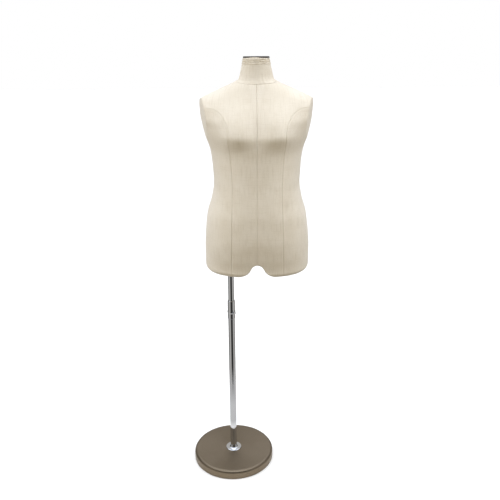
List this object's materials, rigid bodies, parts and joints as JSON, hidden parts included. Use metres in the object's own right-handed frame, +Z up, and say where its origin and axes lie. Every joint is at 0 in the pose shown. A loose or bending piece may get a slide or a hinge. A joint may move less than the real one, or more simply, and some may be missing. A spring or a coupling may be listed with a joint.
{
  "type": "dress form mannequin",
  "caption": "Plus-size half-body dress form with a padded linen cover, on a height-adjustable chrome pole in one thigh and a round metal base.",
  "frame": {"origin": "on the pole's axis, on the underside of the base where it meets the floor", "axes": "+Z up along the pole, the form faces -Y, +X towards the form's left side"},
  "size_m": [0.4487, 0.3463, 1.54],
  "materials": {
    "linen": "undyed plain-weave linen canvas, matte",
    "padding": "polyester wadding",
    "fibreglass": "moulded fibreglass",
    "board": "raw fibreboard",
    "cap": "dark matte disc",
    "chrome": "polished chrome plate",
    "base_metal": "satin champagne nickel",
    "steel": "zinc-plated steel",
    "cement": "cast cement fill",
    "nylon": "black nylon",
    "rubber": "thin foam rubber mat"
  },
  "bodies": {
    "stand": {"base_mat": "rubber", "base_shell": "base_metal", "base_weight": "cement", "base_bolt": "steel", "base_washer": "steel", "pole_flange": "chrome", "pole_foot": "steel", "lower_tube": "chrome", "collar": "chrome", "collar_bush": "nylon"},
    "mast": {"upper_tube": "chrome", "tube_glide": "nylon", "tube_plug": "nylon"},
    "torso": {"pole_socket": "steel", "socket_bush": "nylon", "socket_screws": "steel", "cover_front_left": "linen", "cover_front_right": "linen", "cover_side_front_left": "linen", "cover_side_front_right": "linen", "cover_back_left": "linen", "cover_back_right": "linen", "cover_side_back_left": "linen", "cover_side_back_right": "linen", "neck_cover": "linen", "arm_cover_left": "linen", "arm_cover_right": "linen", "stump_cover_left": "linen", "stump_cover_right": "linen", "arm_board_left": "board", "arm_board_right": "board", "thigh_board_left": "board", "thigh_board_right": "board", "neck_block": "board", "padding_front": "padding", "padding_back": "padding", "shell_front": "fibreglass", "shell_back": "fibreglass", "neck_cap": "cap", "cap_screw": "steel"},
    "lock_screw": {"lock_screw": "chrome"}
  },
  "joints": [
    {"name": "height_slide", "type": "slide", "parent": "stand", "child": "mast", "axis": [0, 0, 1], "range_m": [-0.11, 0.41]},
    {"name": "torso_swivel", "type": "hinge", "parent": "mast", "child": "torso", "pos_m": [0, 0, 0.87], "axis": [0, 0, 1], "continuous": true},
    {"name": "lock_screw_turn", "type": "hinge", "parent": "stand", "child": "lock_screw", "pos_m": [0.01078, -0.0154, 0.631], "axis": [0.5736, -0.8192, 0], "continuous": true}
  ]
}
